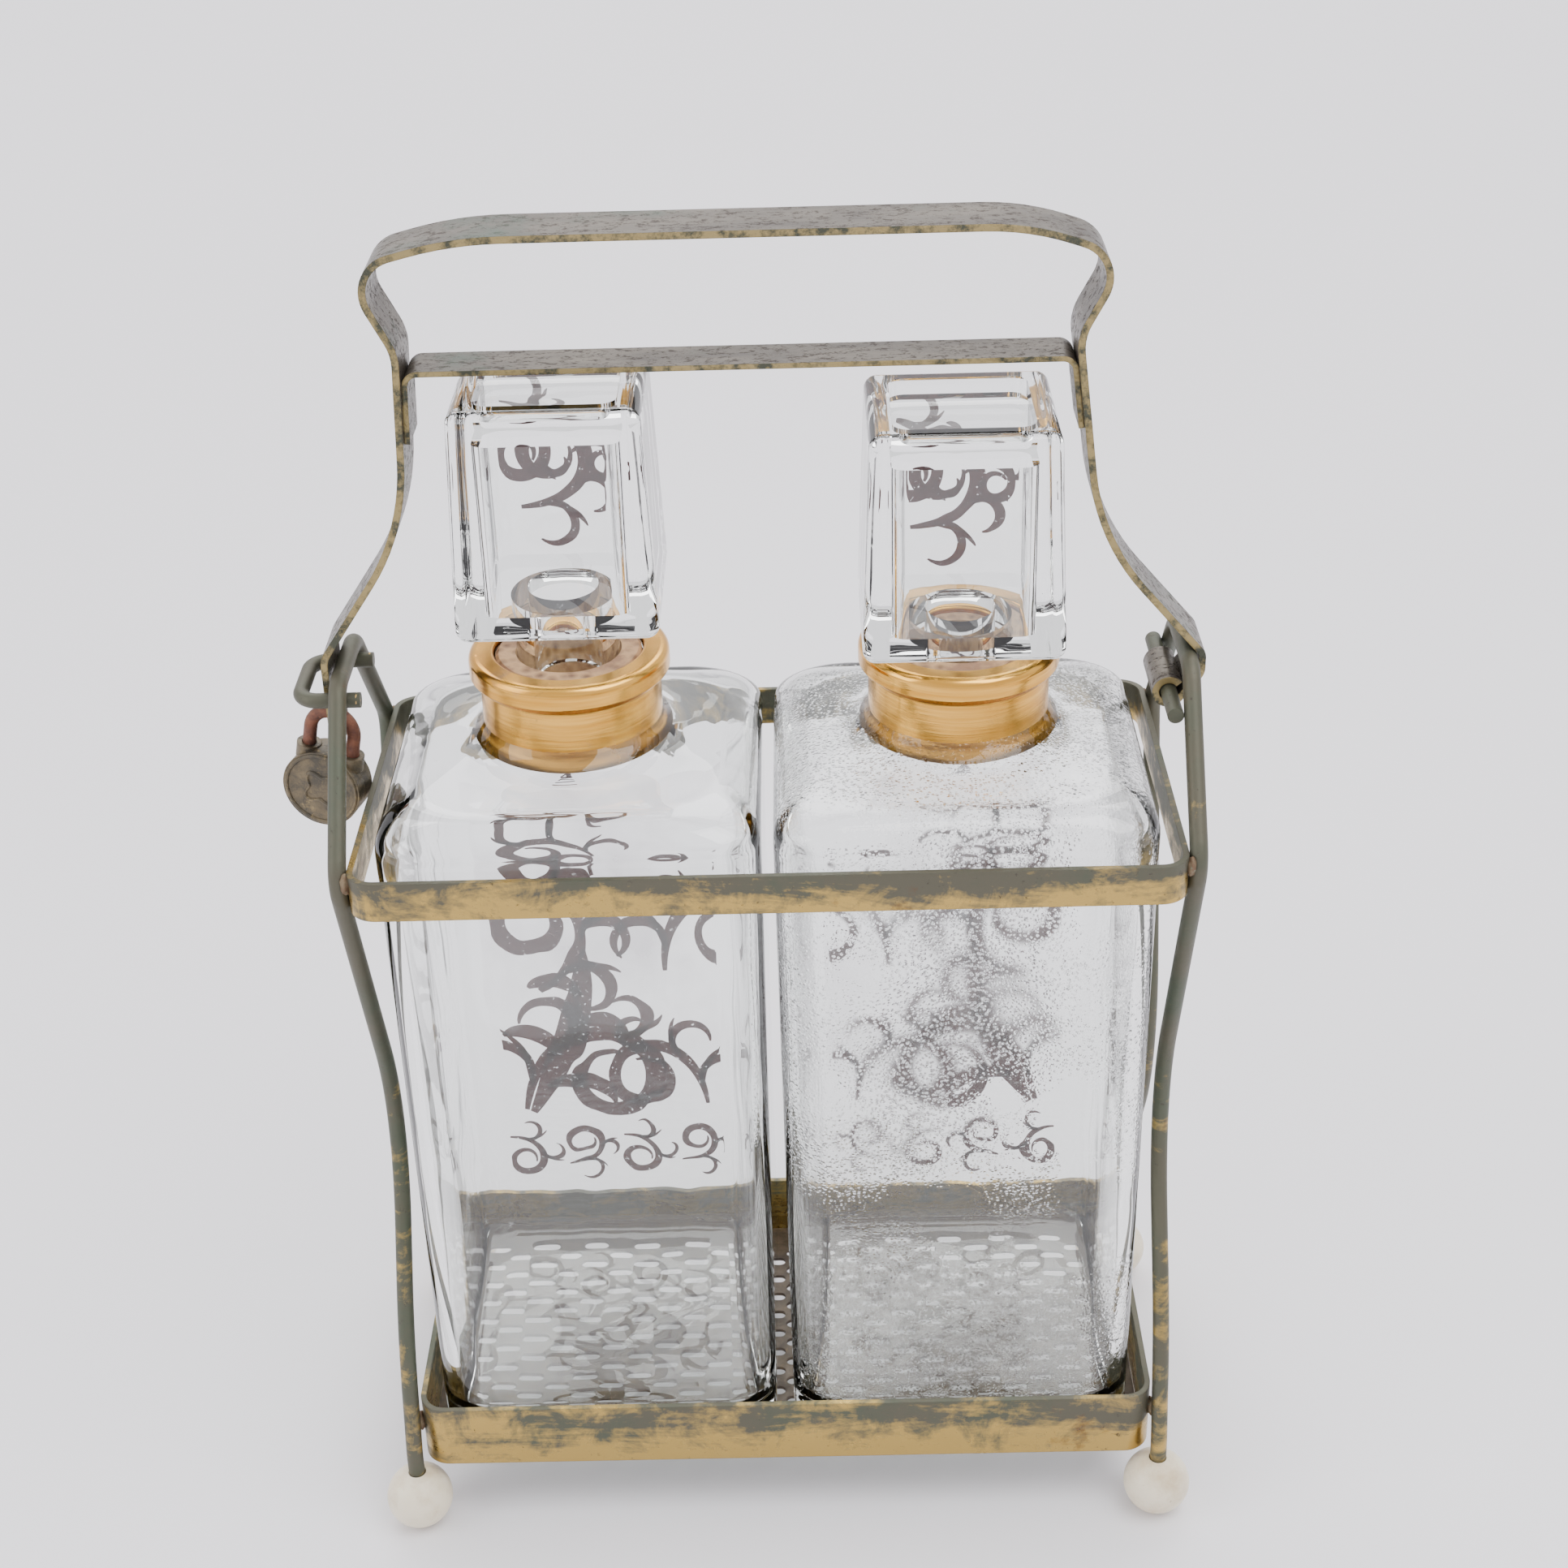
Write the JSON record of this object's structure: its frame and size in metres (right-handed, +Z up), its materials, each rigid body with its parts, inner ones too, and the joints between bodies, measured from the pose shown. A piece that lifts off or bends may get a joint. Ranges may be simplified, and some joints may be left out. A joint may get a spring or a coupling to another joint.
{
  "type": "tantalus",
  "caption": "Tantalus: square stoppered glass decanters in a brass wire stand, locked under a hinged carrying handle with a round padlock.",
  "frame": {"origin": "centre of the bounding box's base, on the table under the feet", "axes": "+Z up; +X towards the handle's hinge, -X towards the padlock; -Y towards the front"},
  "size_m": [0.2318, 0.1152, 0.3471],
  "materials": {
    "tarnished_brass": "tarnished brass plating on steel",
    "worn_strip": "worn and pitted plated strip",
    "gilt_brass": "polished, scratched",
    "padlock_brass": "dull, worn",
    "shackle_steel": "rusty",
    "clear_glass": "clear, slightly green",
    "cork": "dark cork",
    "ivory_plastic": "ivory, satin"
  },
  "bodies": {
    "stand": {"upper_ring": "tarnished_brass", "tray_band": "tarnished_brass", "tray_grid": "tarnished_brass", "left_wire_frame": "tarnished_brass", "right_wire_frame": "tarnished_brass", "foot_front_left": "ivory_plastic", "foot_front_right": "ivory_plastic", "foot_back_left": "ivory_plastic", "foot_back_right": "ivory_plastic", "lock_staple": "tarnished_brass", "hinge_pin": "tarnished_brass"},
    "handle": {"carry_handle": "worn_strip", "lock_bar": "worn_strip"},
    "decanter_left": {"decanter_left": "clear_glass", "neck_collar_left": "gilt_brass", "cork_ring_left": "cork"},
    "decanter_right": {"decanter_right": "clear_glass", "neck_collar_right": "gilt_brass", "cork_ring_right": "cork"},
    "stopper_left": {"stopper_left": "clear_glass"},
    "stopper_right": {"stopper_right": "clear_glass"},
    "padlock_case": {"padlock_case_front": "padlock_brass", "padlock_case_back": "padlock_brass", "padlock_catch": "padlock_brass", "padlock_spring": "shackle_steel"},
    "padlock_shackle": {"padlock_shackle": "shackle_steel"}
  },
  "joints": [
    {"name": "handle_swing", "type": "hinge", "parent": "stand", "child": "handle", "pos_m": [0.10462, 0, 0.23], "axis": [0, 1, 0], "range_deg": [0, 140]},
    {"name": "decanter_left_lift", "type": "slide", "parent": "stand", "child": "decanter_left", "axis": [0, 0, 1], "range_m": [0, 0.0495]},
    {"name": "decanter_right_lift", "type": "slide", "parent": "stand", "child": "decanter_right", "axis": [0, 0, 1], "range_m": [0, 0.1425]},
    {"name": "stopper_left_lift", "type": "slide", "parent": "decanter_left", "child": "stopper_left", "axis": [0, 0, 1], "range_m": [0, 0.0173]},
    {"name": "stopper_right_lift", "type": "slide", "parent": "decanter_right", "child": "stopper_right", "axis": [0, 0, 1], "range_m": [0, 0.0197]},
    {"name": "padlock_take_off", "type": "slide", "parent": "stand", "child": "padlock_case", "axis": [-0.9659, 0.2588, 0], "range_m": [0, 0.03]},
    {"name": "shackle_lift", "type": "slide", "parent": "padlock_case", "child": "padlock_shackle", "axis": [0.2008, -0.0538, 0.9781], "range_m": [0, 0.004]}
  ],
  "couplings": [
    {"joint": "decanter_left_lift", "follows": "handle_swing", "m_per_rad": 0.02},
    {"joint": "stopper_left_lift", "follows": "handle_swing", "m_per_rad": 0.007},
    {"joint": "decanter_right_lift", "follows": "handle_swing", "m_per_rad": 0.058},
    {"joint": "stopper_right_lift", "follows": "handle_swing", "m_per_rad": 0.008}
  ]
}
